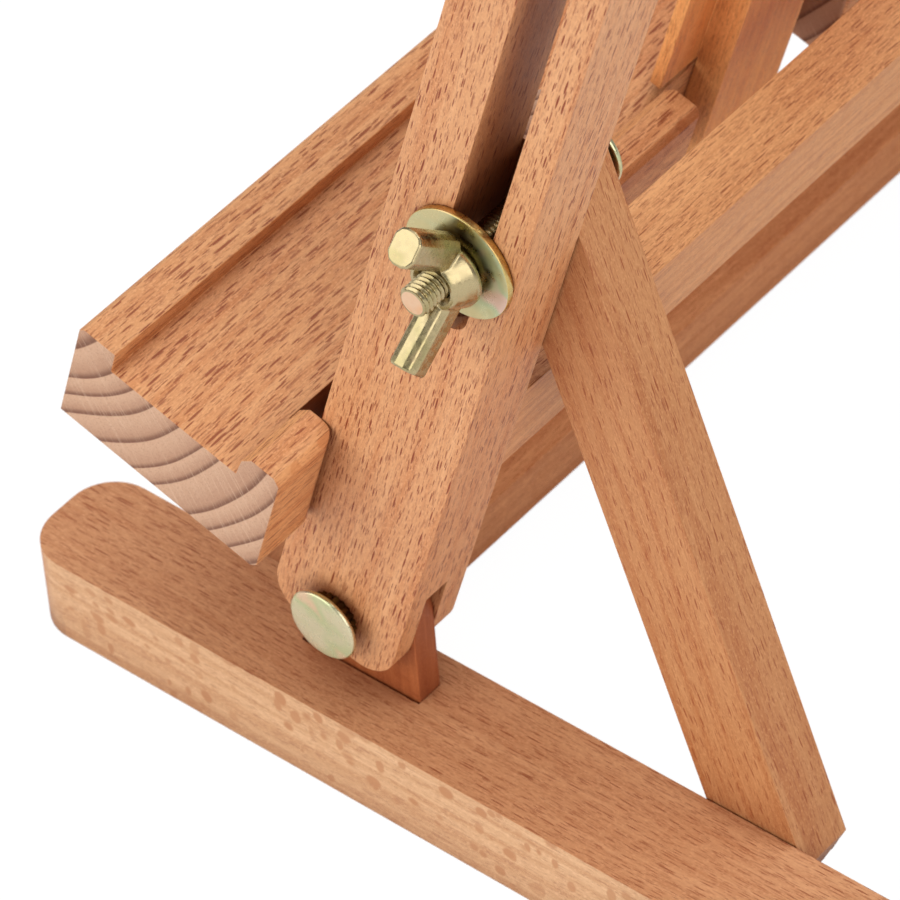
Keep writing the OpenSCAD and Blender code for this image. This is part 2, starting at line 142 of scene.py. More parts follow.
class Shader:
    """Small helper around a node tree."""

    def __init__(self, tree):
        self.tree = tree

    def node(self, kind, **props):
        n = self.tree.nodes.new(kind)
        for k, v in props.items():
            setattr(n, k, v)
        return n

    def link(self, a, b):
        self.tree.links.new(a, b)

    def put(self, socket, value):
        if isinstance(value, bpy.types.NodeSocket):
            self.link(value, socket)
        else:
            socket.default_value = value

    def math(self, op, *values, clamp=False):
        n = self.node("ShaderNodeMath", operation=op, use_clamp=clamp)
        for s, v in zip(n.inputs, values):
            self.put(s, v)
        return n.outputs[0]

    def add(self, a, b):
        return self.math("ADD", a, b)

    def sub(self, a, b, clamp=False):
        return self.math("SUBTRACT", a, b, clamp=clamp)

    def mul(self, a, b):
        return self.math("MULTIPLY", a, b)

    def vec(self, op, *values):
        n = self.node("ShaderNodeVectorMath", operation=op)
        for s, v in zip(n.inputs, values):
            self.put(s, v)
        return n.outputs["Value"] if op in ("DOT_PRODUCT", "LENGTH") else n.outputs[0]

    def combine(self, x, y, z):
        n = self.node("ShaderNodeCombineXYZ")
        for s, v in zip(n.inputs, (x, y, z)):
            self.put(s, v)
        return n.outputs[0]

    def separate(self, v):
        n = self.node("ShaderNodeSeparateXYZ")
        self.put(n.inputs[0], v)
        return n.outputs

    def noise(self, v, stretch=None, detail=1.0, rough=0.5, scale=1.0):
        n = self.node("ShaderNodeTexNoise")
        self.put(n.inputs["Vector"], self.vec("MULTIPLY", v, stretch) if stretch else v)
        n.inputs["Scale"].default_value = scale
        n.inputs["Detail"].default_value = detail
        n.inputs["Roughness"].default_value = rough
        return n.outputs[0]

    def ramp(self, v, lo, hi, a=0.0, b=1.0, smooth=True):
        n = self.node("ShaderNodeMapRange")
        n.interpolation_type = "SMOOTHSTEP" if smooth else "LINEAR"
        self.put(n.inputs[0], v)
        for s, x in zip(n.inputs[1:5], (lo, hi, a, b)):
            self.put(s, x)
        return n.outputs[0]

    def mix(self, f, a, b, mode="MIX"):
        n = self.node("ShaderNodeMix", data_type="RGBA", blend_type=mode)
        self.put(n.inputs[0], f)
        self.put(n.inputs[6], a)
        self.put(n.inputs[7], b)
        return n.outputs[2]

    def tinted(self, colour, tint):
        return self.mix(1.0, colour, tint, "MULTIPLY")

    def recess(self, colour, reach, tint):
        """Paints shade into a colour: darkens it where other surfaces stand close around it."""
        n = self.node("ShaderNodeAmbientOcclusion", samples=6)
        n.inputs["Distance"].default_value = reach
        painted_shade_share = self.ramp(n.outputs["AO"], 0.68, 0.20)
        return self.mix(painted_shade_share, colour, self.tinted(colour, tint))

    def bump(self, surface, height, strength, distance):
        n = self.node("ShaderNodeBump")
        n.inputs["Strength"].default_value = strength
        n.inputs["Distance"].default_value = distance
        self.link(height, n.inputs["Height"])
        self.link(n.outputs[0], surface.inputs["Normal"])


def empty_material(name):
    m = bpy.data.materials.new(name)
    m.use_nodes = True
    m.node_tree.nodes.clear()
    return m, Shader(m.node_tree)


def glossy_material(name):
    """A material that has only its surface so far, the helper that fills it and that surface."""
    m, s = empty_material(name)
    surface = s.node("ShaderNodeBsdfPrincipled")
    s.link(surface.outputs[0], s.node("ShaderNodeOutputMaterial").inputs[0])
    return m, s, surface


# ---------------------------------------------------------------- beech
WHITE = (1.0, 1.0, 1.0, 1.0)
LIGHTER = (1.16, 1.22, 1.28, 1.0)
REDDER = (0.96, 0.88, 0.80, 1.0)
# painted shade: the darker, redder tint that wood takes where other surfaces stand close
WOOD_SHADE = (0.42, 0.27, 0.20, 1.0)
END_PALE = srgb(208, 166, 136)
END_LATE = srgb(162, 112, 84)
END_RING = srgb(114, 68, 46)
END_RAY = srgb(224, 190, 162)
END_SPECK = srgb(146, 98, 72)
FLECK = srgb(138, 58, 24)
SOFT_FLECK = srgb(158, 80, 40)

GRAIN_INPUTS = (
    ("Local", "NodeSocketVector"),
    ("Normal", "NodeSocketVector"),
    ("Pale", "NodeSocketColor"),
    ("Warm", "NodeSocketColor"),
    ("Fleck", "NodeSocketColor"),
    ("Fleck amount", "NodeSocketFloat"),
    ("Fleck length", "NodeSocketFloat"),
    ("Pith", "NodeSocketFloat"),
    ("Flake", "NodeSocketFloat"),
    ("Side tint", "NodeSocketColor"),
)
GRAIN_OUTPUTS = (
    ("Color", "NodeSocketColor"),
    ("Height", "NodeSocketFloat"),
    ("Rough", "NodeSocketFloat"),
)
# flecks come in two sizes, each with its own cells: a cell's length and width in mm, the fleck's
# half width in cells, how faint the faintest are, and an offset that keeps the two apart
FLECK_SIZES = ((4.8, 1.12, 0.135, 0.50, 0.0), (3.0, 0.75, 0.13, 0.10, 31.7))
FLECK_CELL_DEPTH = 3.6
RINGS_PER_MM = 0.20


def wander(s, p):
    """Lets the grain drift slowly sideways along its length."""
    slow = s.vec("MULTIPLY", p, (0.010, 0.03, 0.03))
    drift_y = s.sub(s.noise(slow), 0.5)
    drift_z = s.sub(s.noise(s.vec("ADD", slow, (7.3, 1.1, 4.2))), 0.5)
    return s.vec("ADD", p, s.combine(0.0, s.mul(drift_y, 5.0), s.mul(drift_z, 5.0)))


def growth(s, y, z, pith):
    """How far a point lies between one growth ring and the next, from 0 to 1."""
    ry = s.add(y, pith)
    dist = s.math("SQRT", s.add(s.mul(ry, ry), s.mul(z, z)))
    uneven = s.noise(s.combine(0.0, s.mul(dist, 0.09), 0.0))
    return s.math("FRACT", s.add(s.mul(dist, RINGS_PER_MM), s.mul(uneven, 1.4)))


def flecks(s, p, length):
    """A mask of spindle-shaped ray flecks, one in each cell of a stretched cell pattern."""
    mask = None
    for cell_l, cell_w, half_w, faintest, offset in FLECK_SIZES:
        moved = s.vec("ADD", p, (offset, offset, offset))
        q = s.vec("MULTIPLY", moved, (1 / cell_l, 1 / FLECK_CELL_DEPTH, 1 / cell_w))
        cells = s.node("ShaderNodeTexVoronoi", voronoi_dimensions="3D", feature="F1")
        s.put(cells.inputs["Vector"], q)
        cells.inputs["Scale"].default_value = 1.0
        cells.inputs["Randomness"].default_value = 0.9
        off = s.vec("SUBTRACT", q, cells.outputs["Position"])
        chance = s.separate(cells.outputs["Color"])
        size = s.mul(s.ramp(chance[0], 0.0, 1.0, 0.45, 1.0, False), length)
        spindle = s.combine(s.mul(size, 0.42), 0.55, s.mul(size, half_w))
        one = s.ramp(s.vec("LENGTH", s.vec("DIVIDE", off, spindle)), 1.0, 0.72)
        one = s.mul(one, s.ramp(chance[1], 0.15, 0.60, faintest, 1.0, False))
        mask = one if mask is None else s.math("MAXIMUM", mask, s.mul(one, 0.85))
    return mask


def end_grain(s, p, saw):
    """Greyer wood with clear rings, and rays as fine lines across the rings."""
    col = s.mix(s.mul(s.ramp(saw, 0.05, 0.95), 0.65), END_PALE, END_LATE)
    ring_edge = s.mul(s.ramp(saw, 0.70, 0.95), s.ramp(saw, 1.0, 0.97))
    col = s.mix(s.mul(ring_edge, 0.90), col, END_RING)
    ray = s.noise(p, (0.3, 0.12, 4.2))
    col = s.mix(s.ramp(ray, 0.56, 0.72, 0.0, 0.40), col, END_RAY)
    speck = s.noise(p, (1.0, 3.4, 3.4), rough=0.7)
    return s.mix(s.ramp(speck, 0.50, 0.72, 0.0, 0.35), col, END_SPECK)


def grain_group():
    """Steamed beech in mm: the grain runs along local x and the rays along y, from a pith."""
    g = bpy.data.node_groups.new("beech_grain", "ShaderNodeTree")
    for sockets, way in ((GRAIN_INPUTS, "INPUT"), (GRAIN_OUTPUTS, "OUTPUT")):
        for name, kind in sockets:
            g.interface.new_socket(name, in_out=way, socket_type=kind)
    s = Shader(g)
    i = s.node("NodeGroupInput").outputs
    p = wander(s, i["Local"])
    x, y, z = s.separate(p)
    saw = growth(s, y, z, i["Pith"])
    late = s.mul(s.ramp(saw, 0.45, 0.93), s.ramp(saw, 1.0, 0.95))

    # end grain, the rest, and of the rest the faces that show the rays' height
    nx, ny, nz = s.separate(i["Normal"])
    end = s.ramp(s.math("ABSOLUTE", nx), 0.75, 0.92)
    side = s.sub(1.0, end)
    radial = s.mul(s.ramp(s.math("ABSOLUTE", nz), 0.80, 0.97), side)

    # broad bands, then pale and warm streaks a millimetre or two wide
    band = s.noise(p, (0.004, 0.16, 0.16), 2.0)
    tone = s.sub(s.add(s.mul(late, 0.34), s.mul(band, 0.8)), 0.10, clamp=True)
    col = s.mix(tone, i["Pale"], i["Warm"])
    lighter = s.tinted(i["Pale"], LIGHTER)
    streak = s.noise(p, (0.03, 0.75, 0.75), 2.0, 0.6)
    col = s.mix(s.ramp(streak, 0.52, 0.70, 0.0, 0.40), col, lighter)
    col = s.mix(s.ramp(streak, 0.48, 0.30, 0.0, 0.35), col, s.tinted(i["Warm"], REDDER))

    # fine pores and fibres
    fibre = s.noise(p, (0.34, 3.4, 3.4), 2.0, 0.65)
    col = s.mix(s.ramp(fibre, 0.52, 0.30, 0.0, 0.50), col, i["Fleck"])
    grit = s.noise(p, (1.5, 2.9, 2.9))
    col = s.mix(s.ramp(grit, 0.50, 0.72, 0.0, 0.45), col, lighter)

    # the rays: dark dashes on most faces, paler flakes where they show their height
    mask = flecks(s, p, i["Fleck length"])
    dash = s.mul(s.mul(mask, s.sub(side, radial)), i["Fleck amount"])
    col = s.mix(dash, col, i["Fleck"])
    flake = s.mul(s.mul(mask, radial), i["Flake"])
    col = s.mix(flake, col, i["Warm"])
    # the side tint on radial faces: partly each wood's own tone, partly painted light and shade for how
    # those faces are lit
    col = s.mix(radial, col, s.tinted(col, i["Side tint"]))
    col = s.mix(end, col, end_grain(s, p, saw))

    out = s.node("NodeGroupOutput").inputs
    s.put(out["Color"], col)
    s.put(out["Height"], s.sub(s.mul(fibre, 0.5), s.mul(mask, 0.55)))
    s.put(out["Rough"], s.ramp(fibre, 0.2, 0.8, 0.42, 0.56))
    return g


GRAIN = grain_group()


def wood(k, name, centre, along, rays, pith, inputs, reach):
    """The k-th beech piece's material, its grain along one direction and its rays near another."""
    m, s, surface = glossy_material(name)
    across = along.cross(rays).normalized()
    rays = across.cross(along).normalized()
    spots = s.node("ShaderNodeTexCoord").outputs

    def local(v):
        return s.combine(*[s.vec("DOT_PRODUCT", v, tuple(a)) for a in (along, rays, across)])

    start = (
        53.0 * k - centre.dot(along),
        2.3 * (k % 3) - centre.dot(rays),
        2.1 * (k % 4) - centre.dot(across),
    )
    in_mm = s.vec("MULTIPLY", spots["Object"], (1000.0, 1000.0, 1000.0))
    g = s.node("ShaderNodeGroup")
    g.node_tree = GRAIN
    s.put(g.inputs["Local"], s.vec("ADD", local(in_mm), start))
    s.put(g.inputs["Normal"], local(spots["Normal"]))
    g.inputs["Pith"].default_value = pith
    for key, value in inputs.items():
        g.inputs[key].default_value = value
    # painted shade: the grain's colour darkens and reddens where other surfaces stand within reach
    s.link(s.recess(g.outputs["Color"], reach, WOOD_SHADE), surface.inputs["Base Color"])
    s.link(g.outputs["Rough"], surface.inputs["Roughness"])
    surface.inputs["Specular IOR Level"].default_value = 0.35
    s.bump(surface, g.outputs["Height"], 0.35, 0.00012)
    return m


# ---------------------------------------------------------------- yellow zinc
# painted shade on the zinc: its colour darkens within this reach of other surfaces
METAL_REACH = 0.004
METAL_SHADE = (0.50, 0.42, 0.30, 1.0)


def zinc(name, base, tint_a, tint_b, rough=0.24, scale=160.0):
    """Yellow zinc plate: a base colour under a thin film that turns to two other tints."""
    m, s, surface = glossy_material(name)
    spot = s.node("ShaderNodeTexCoord").outputs["Object"]
    film = s.noise(spot, detail=2.0, scale=scale)
    fine = s.noise(spot, detail=2.0, scale=scale * 5.0)
    col = s.mix(s.ramp(film, 0.42, 0.62), srgb(*base), srgb(*tint_a))
    col = s.mix(s.ramp(film, 0.58, 0.70, 0.0, 0.8), col, srgb(*tint_b))
    # painted shade: the plating's colour darkens in the tight corners around it
    s.link(s.recess(col, METAL_REACH, METAL_SHADE), surface.inputs["Base Color"])
    surface.inputs["Metallic"].default_value = 1.0
    s.link(s.ramp(fine, 0.3, 0.7, rough - 0.06, rough + 0.10), surface.inputs["Roughness"])
    s.bump(surface, fine, 0.15, 0.0001)
    return m


GOLD = zinc("yellow_zinc", (188, 172, 132), (174, 162, 118), (194, 170, 132))
GOLD_FILM = zinc("yellow_zinc_film", (206, 194, 146), (184, 194, 156), (228, 188, 176), 0.30, 90.0)
GOLD_HEAD = zinc("yellow_zinc_head", (220, 212, 178), (200, 206, 160), (238, 200, 170), 0.28, 110.0)
GOLD_DULL = zinc("yellow_zinc_dull", (186, 172, 120), (170, 160, 110), (190, 168, 120), 0.34)
GOLD_RIM = zinc("yellow_zinc_rim", (210, 186, 120), (198, 168, 102), (216, 184, 134), 0.26)
# painted shade: a darker zinc for the serrated collar tucked under each bolt head
GOLD_COLLAR_SHADE = zinc("yellow_zinc_collar_shade", (120, 92, 52), (96, 70, 40), (150, 120, 76), 0.30)
BARE_END = zinc("cut_end", (236, 200, 168), (236, 190, 150), (226, 200, 190), 0.45)
# painted shade: near-black zinc on the walls of the screws' cross recesses
RECESS = zinc("screw_recess_shade", (40, 34, 24), (30, 26, 20), (50, 44, 30), 0.5)


# ---------------------------------------------------------------- wooden pieces: CAD nodes
def look(pale, warm, fleck, amount, length, flake, side=WHITE, edge=0.5, reach=0.023):
    """What a kind of piece looks like: inputs of the grain, edge radius in mm, reach of shade in m."""
    inputs = {
        "Pale": srgb(*pale),
        "Warm": srgb(*warm),
        "Fleck": fleck,
        "Fleck amount": amount,
        "Fleck length": length,
        "Flake": flake,
        "Side tint": side,
    }
    return inputs, edge, reach


PLAIN_PALE = (224, 166, 118)
PLAIN_WARM = (206, 134, 84)
# on the feet's outer and inner faces: partly a paler, yellower tone of the wood, partly painted light
FOOT_SIDE_TONE_AND_LIGHT = (1.16, 1.42, 1.60, 1)
# painted light: lifts the tabs' side faces above their shaded back and front
TAB_LIT_SIDES = (1.35, 1.45, 1.35, 1)
# on the mast's front and back faces: partly a more orange tone of the wood, partly painted shade
MAST_FACE_TONE_AND_SHADE = (0.88, 0.74, 0.62, 1)

FOOT = look((214, 158, 114), (184, 118, 76), FLECK, 0.85, 1.25, 1.0, FOOT_SIDE_TONE_AND_LIGHT, 0.7)
# painted shade: the tabs' dark pale and warm tones stand in for the shade under the upright's fork
TAB = look((172, 98, 58), (140, 68, 36), SOFT_FLECK, 0.6, 0.8, 0.4, TAB_LIT_SIDES, 0.3)
RAIL = look((214, 152, 104), (186, 116, 70), SOFT_FLECK, 0.5, 1.0, 0.3, edge=0.6)
UPRIGHT = look(PLAIN_PALE, PLAIN_WARM, FLECK, 1.0, 1.2, 0.5)
CROSSBAR = look((226, 166, 112), (200, 130, 80), FLECK, 0.8, 1.1, 0.3, edge=0.6)
TRAY = look((226, 168, 116), (200, 126, 74), FLECK, 0.85, 1.5, 0.5)
DOWEL = look((226, 184, 138), (210, 158, 110), SOFT_FLECK, 0.3, 1.0, 0.2, edge=0)
MAST = look((248, 186, 120), (232, 154, 90), SOFT_FLECK, 0.5, 1.0, 0.3, MAST_FACE_TONE_AND_SHADE, 0.4, 0.014)
GUIDE = look(PLAIN_PALE, PLAIN_WARM, SOFT_FLECK, 0.6, 1.0, 0.3, edge=0.4)
HOLDER = look(PLAIN_PALE, PLAIN_WARM, FLECK, 0.8, 1.0, 0.3, edge=0.6)
STRUT = look((208, 150, 100), (182, 110, 62), SOFT_FLECK, 1.0, 1.0, 0.4, edge=0.4)

TRAY_HEART = 12.0  # how far the tray's rings are centred off the middle of its box
WOODS = (
    # node, look, direction of the grain, direction of the rays, distance of the pith
    ("foot_right", FOOT, Y_AXIS, Z_AXIS, 60),
    ("foot_left", FOOT, Y_AXIS, Z_AXIS, 66),
    ("hinge_tab_right", TAB, Z_AXIS, Y_AXIS, 60),
    ("hinge_tab_left", TAB, Z_AXIS, Y_AXIS, 60),
    ("base_cross_rail", RAIL, X_AXIS, Z_AXIS, 60),
    ("upright_right", UPRIGHT, V_AXIS, both(X_AXIS, U_AXIS, 0.40), 60),
    ("upright_left", UPRIGHT, V_AXIS, both(-X_AXIS, U_AXIS, 0.42), 60),
    ("lower_crossbar", CROSSBAR, X_AXIS, V_AXIS, 60),
    ("upper_crossbar", CROSSBAR, X_AXIS, V_AXIS, 60),
    ("canvas_tray", TRAY, X_AXIS, both(U_AXIS, -V_AXIS, 0.48), 75),
    ("tray_dowels", DOWEL, X_AXIS, Z_AXIS, 60),
    ("mast", MAST, V_AXIS, X_AXIS, 60),
    ("mast_guide_right", GUIDE, V_AXIS, X_AXIS, 60),
    ("mast_guide_left", GUIDE, V_AXIS, X_AXIS, 60),
    ("canvas_holder_block", HOLDER, X_AXIS, V_AXIS, 60),
    ("canvas_holder_lip", HOLDER, X_AXIS, V_AXIS, 60),
    ("strut_right", STRUT, STRUT_AXIS, both(STRUT_NORMAL, X_AXIS, 0.40), 60),
    ("strut_left", STRUT, STRUT_AXIS, both(STRUT_NORMAL, -X_AXIS, 0.40), 60),
    ("base_rail_dowels", DOWEL, X_AXIS, Z_AXIS, 60),
    ("crossbar_dowels", DOWEL, X_AXIS, Z_AXIS, 60),
)


def ease(node, radius_mm):
    """Breaks the sharp edges of a CAD node without touching its own mesh."""
    weld = node.modifiers.new("weld", "WELD")
    weld.merge_threshold = 0.00001
    flat = node.modifiers.new("flat", "DECIMATE")
    flat.decimate_type = "DISSOLVE"
    flat.angle_limit = math.radians(1.0)
    bevel = node.modifiers.new("ease", "BEVEL")
    bevel.width = radius_mm * 0.001
    bevel.segments = 2
    bevel.limit_method = "ANGLE"
    bevel.angle_limit = math.radians(35)
    bevel.harden_normals = False


def paint_woods():
    for k, (node, (inputs, edge, reach), along, rays, pith) in enumerate(WOODS, 1):
        box_low, box_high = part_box(node)
        centre = (box_low + box_high) * 500.0
        if node == "canvas_tray":
            centre -= both(U_AXIS, V_AXIS) * TRAY_HEART
        o = NODES[node]
        o.data.materials.clear()
        o.data.materials.append(wood(k, "beech_" + node, centre, along, rays, pith, inputs, reach))
        if edge:
            ease(o, edge)


paint_woods()


# ---------------------------------------------------------------- mesh helpers
def new_mesh(name, bm, materials, matrix=AS_DRAWN):
    """An object from a mesh drawn in mm, put in its place by the matrix."""
    bmesh.ops.recalc_face_normals(bm, faces=bm.faces)
    me = bpy.data.meshes.new(name)
    bm.to_mesh(me)
    bm.free()
    for m in materials:
        me.materials.append(m)
    me.transform(MM @ matrix)
    o = bpy.data.objects.new(name, me)
    bpy.context.scene.collection.objects.link(o)
    return o


def settle(o, body, nodes, smooth=32.0):
    """Shades a finished piece and lets it ride on its body in place of its CAD nodes."""
    for p in o.data.polygons:
        p.use_smooth = True
    o.data.set_sharp_from_angle(angle=math.radians(smooth))
    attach(o, body)
    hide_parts(*nodes)


def carve(o, cutter):
    """Applies an object's modifiers, cuts another object out of it and throws that one away."""
    cut = o.modifiers.new("carve", "BOOLEAN")
    cut.operation = "DIFFERENCE"
    cut.object = cutter
    cut.solver = "EXACT"
    bpy.context.view_layer.update()
    graph = bpy.context.evaluated_depsgraph_get()
    mesh = bpy.data.meshes.new_from_object(o.evaluated_get(graph), depsgraph=graph)
    plain = o.data
    o.modifiers.clear()
    o.data = mesh
    bpy.data.meshes.remove(plain)
    bpy.data.objects.remove(cutter)


def circle(n, r=1.0):
    """The n corners of a regular polygon."""
    angles = [2 * math.pi * k / n for k in range(n)]
    return [(r * math.cos(a), r * math.sin(a)) for a in angles]


def rounded(x, r, ex, er, degrees):
    """Part of an outline to turn: an arc about (x, r) that reaches ex along and er outwards."""
    angles = [math.radians(d) for d in degrees]
    return [(x + ex * math.sin(a), r + er * math.cos(a)) for a in angles]


def ring(bm, x, outline):
    return [bm.verts.new((x, y, z)) for y, z in outline]


def skin(bm, rings, mat=0):
    """Joins each ring of corners to the next one; a ring can also be a single tip."""
    for a, b in zip(rings, rings[1:]):
        n = max(len(a), len(b))
        if n == 1:
            continue
        for k in range(n):
            j = (k + 1) % n
            corners = (a[k % len(a)], a[j % len(a)], b[j % len(b)], b[k % len(b)])
            bm.faces.new(tuple(dict.fromkeys(corners))).material_index = mat


def lathe(bm, profile, n=64, closed=True):
    """Turns (x, radius) points about the x axis; closed joins the last point to the first."""
    rings = [ring(bm, x, circle(n, r) if r > 0 else [(0, 0)]) for x, r in profile]
    skin(bm, rings + rings[:1] if closed else rings)


# ---------------------------------------------------------------- bolts, washers and nuts
def thread(bm, x0, x1, n=48):
    """A helical thread that runs in over its first turn, with a bevelled free end at x1."""
    steps = int(round((x1 - x0) / PITCH * 10))
    spokes = circle(n)
    rings = []
    for i in range(steps + 1):
        x = x0 + (x1 - x0) * i / steps
        run_in = min(1.0, (x - x0) / PITCH)
        outline = []
        for k, (y, z) in enumerate(spokes):
            tooth = abs(2 * ((x / PITCH - k / n) % 1.0) - 1)
            r = BOLT_R - 0.04 - THREAD_DEPTH * min(1.0, max(0.0, (tooth - 0.12) / 0.72))
            r = min(r, BOLT_R - 0.28 + (x1 - x) * 0.7)
            r = r * run_in + (BOLT_R - 0.06) * (1 - run_in)
            outline.append((r * y, r * z))
        rings.append(ring(bm, x, outline))
    rings.append(ring(bm, x1 + 0.06, circle(n, END_CUT_R)))
    skin(bm, rings)
    bm.faces.new(rings[-1]).material_index = 1
    return rings[0]


def bolt_with_thread(name, start, plain_to, end, body, nodes, matrix, head=None):
    """A bolt along +x, plain up to one place and threaded from there to its end."""
    bm = bmesh.new()
    first = thread(bm, plain_to, end)
    back = ring(bm, start, [(v.co.y, v.co.z) for v in first])
    skin(bm, (back, first))
    bm.faces.new(back)
    if head:
        lathe(bm, head)
    settle(new_mesh(name, bm, [GOLD, BARE_END], matrix), body, nodes, 40)


def washer(name, body, nodes, matrix):
    """A plain washer from x = 0 on, with its rim in the second material."""
    bm = bmesh.new()
    t, r, bore, e = WASHER_T, WASHER_R, BOLT_R + 0.2, 0.28
    profile = [(0.0, bore), (t, bore), (t, r - 1.1)]
    profile += rounded(t - e, r - e, e, e, (90, 60, 30, 0))
    profile += rounded(e, r - e, -e, e, (0, 30, 60, 90))
    lathe(bm, profile, 96)
    for f in bm.faces:
        c = f.calc_center_median()
        if math.hypot(c.y, c.z) > r - 0.2:
            f.material_index = 1
    settle(new_mesh(name, bm, [GOLD_FILM, GOLD_RIM], matrix), body, nodes)


# the hub's outline from its flange up, where a wing starts and ends, and a wing's section
HUB_FLANGE = [(0.0, 0.0), (0.0, 5.2), (0.9, 5.5), (1.4, 6.8), (1.9, 7.05), (2.7, 6.95)]
HUB_CONE = [(4.4, 6.1), (6.0, 5.1), (6.45, 4.7), (6.45, 0.0)]
WING_ROOT = (3.0, 5.4)
WING_TIP = (13.5, 14.6)
WING_HALF = ((3.44, 0.8), (2.95, 2.0), (1.7, 2.82), (-1.7, 2.82), (-2.95, 2.0), (-3.44, 0.8))
WING_SECTION = WING_HALF + tuple((-q, -t) for q, t in WING_HALF)


def wing(bm, side):
    """A faceted bar that leans out of the hub and has a bevelled free end."""
    root = Vector((WING_ROOT[0], 0, side * WING_ROOT[1]))
    tip = Vector((WING_TIP[0], 0, side * WING_TIP[1]))
    d = (tip - root).normalized()
    u = d.cross(Y_AXIS).normalized()
    w = d.cross(u)
    rings = []
    for middle, size in ((root, 1.0), (tip - d * 0.4, 1.0), (tip, 0.90)):
        rings.append([bm.verts.new(middle + (u * q + w * t) * size) for q, t in WING_SECTION])
    skin(bm, rings)
    bm.faces.new(rings[0])
    bm.faces.new(rings[-1])


def wing_nut(name, body, nodes, matrix):
    """Cast wing nut seated on x = 0 with its wings spread along z."""
    bm = bmesh.new()
    lathe(bm, HUB_FLANGE + HUB_CONE, closed=False)
    for side in (-1, 1):
        wing(bm, side)
    o = new_mesh(name, bm, [GOLD])
    fuse = o.modifiers.new("fuse", "REMESH")
    fuse.mode = "VOXEL"
    fuse.voxel_size = 0.0002
    soft = o.modifiers.new("soft", "SMOOTH")
    soft.factor = 0.5
    soft.iterations = 2
    bore = bmesh.new()
    r, mouth_r = BOLT_R + 0.05, BOLT_R + 1.9
    lathe(bore, [(-1, 0), (-1, r), (5.4, r), (7.4, mouth_r), (7.4, 0)], 48, closed=False)
    carve(o, new_mesh(name + "_bore", bore, [GOLD]))
    o.data.transform(MM @ matrix @ MM.inverted())
    o.data.materials.clear()
    o.data.materials.append(GOLD)
    settle(o, body, nodes, 38)


def serrated(bm, x0, x1, r, teeth=20):
    """A collar with fine teeth round it, in the second material."""
    spokes = circle(2 * teeth)
    sizes = [r if k % 2 else r - 0.55 for k in range(2 * teeth)]
    outline = [(size * y, size * z) for size, (y, z) in zip(sizes, spokes)]
    ends = [ring(bm, x, outline) for x in (x0, x1)]
    skin(bm, ends, 1)
    for end in ends:
        bm.faces.new(end)


def flat_head_bolt(name, length, body, nodes, matrix):
    """Flat round head with a rolled rim, on a serrated collar; the shank runs towards -x."""
    bm = bmesh.new()
    under, top = COLLAR_T, COLLAR_T + HEAD_T
    r, e = HEAD_R, HEAD_T * 0.45
    head = [(under, 0.0), (under, r - e)]
    head += rounded(under + e, r - e, -e, e, (60, 30, 0))
    head += rounded(top - e, r - e, e, e, (0, 30, 60, 90))
    head += [(top + 0.12, r * 0.55), (top + 0.16, 0.0)]
    lathe(bm, head, 72, closed=False)
    serrated(bm, 0.0, COLLAR_T + 0.2, COLLAR_R)
    r, e = BOLT_R - 0.02, 0.4
    shank = [(-length, 0.0), (-length, BOLT_R - e), (e - length, r), (0.6, r), (0.6, 0.0)]
    lathe(bm, shank, 40, closed=False)
    settle(new_mesh(name, bm, [GOLD_HEAD, GOLD_COLLAR_SHADE], matrix), body, nodes)


def cap_nut(name, body, nodes, matrix):
    """Domed hexagon nut, its seat at x = CAP_NUT_T and its dome towards -x."""
    bm = bmesh.new()
    rings = []
    for x, share in ((CAP_NUT_T, 0.96), (CAP_NUT_T - 0.3, 1.0), (0.35, 1.0), (0.0, 0.93)):
        rings.append(ring(bm, x, [(y, z) for z, y in circle(6, CAP_NUT_R * share)]))
    skin(bm, rings)
    bm.faces.new(rings[0])
    bm.faces.new(rings[-1])
    dome = rounded(0.1, 0.0, -1.5, 4.5, (0, 20, 40, 60, 75)) + [(-1.4, 0.0)]
    lathe(bm, dome, 48, closed=False)
    settle(new_mesh(name, bm, [GOLD], matrix), body, nodes)


def cross_prism(bm, x0, x1, arm=1.75, half=0.28):
    """A plus-shaped prism along x, its faces in the second material."""
    outline = []
    for c, s in ((1, 0), (0, 1), (-1, 0), (0, -1)):
        outline += [(y * c - z * s, y * s + z * c) for y, z in ((arm, -half), (arm, half), (half, half))]
    ends = [ring(bm, x, outline) for x in (x0, x1)]
    skin(bm, ends, 1)
    for end in ends:
        bm.faces.new(end).material_index = 1


def cross_screws(name, places, length, body, nodes, matrix):
    """Small pan-head screws with a cross recess, driven along +y."""
    screws, recesses = bmesh.new(), bmesh.new()
    e, head_r, head_t = 0.5, 2.9, 2.0
    profile = [(0.0, 0.0), (0.0, 2.3)] + rounded(e, head_r, -e, e, (70, 40, 0))
    profile += [(head_t, head_r + e), (head_t, 1.58), (length - 1.4, 1.5), (length, 0.0)]
    for place in places:
        at = shift(*place) @ X_TO_Y
        for bm in (screws, recesses):
            before = set(bm.verts)
            if bm is screws:
                lathe(bm, profile, 32, closed=False)
            else:
                cross_prism(bm, -0.5, 0.9)
            bmesh.ops.transform(bm, matrix=at, verts=[v for v in bm.verts if v not in before])
    # the carved walls of each cross take the second material, painted shade
    o = new_mesh(name, screws, [GOLD_DULL, RECESS], matrix)
    carve(o, new_mesh(name + "_cross", recesses, [GOLD_DULL, RECESS], matrix))
    settle(o, body, nodes)


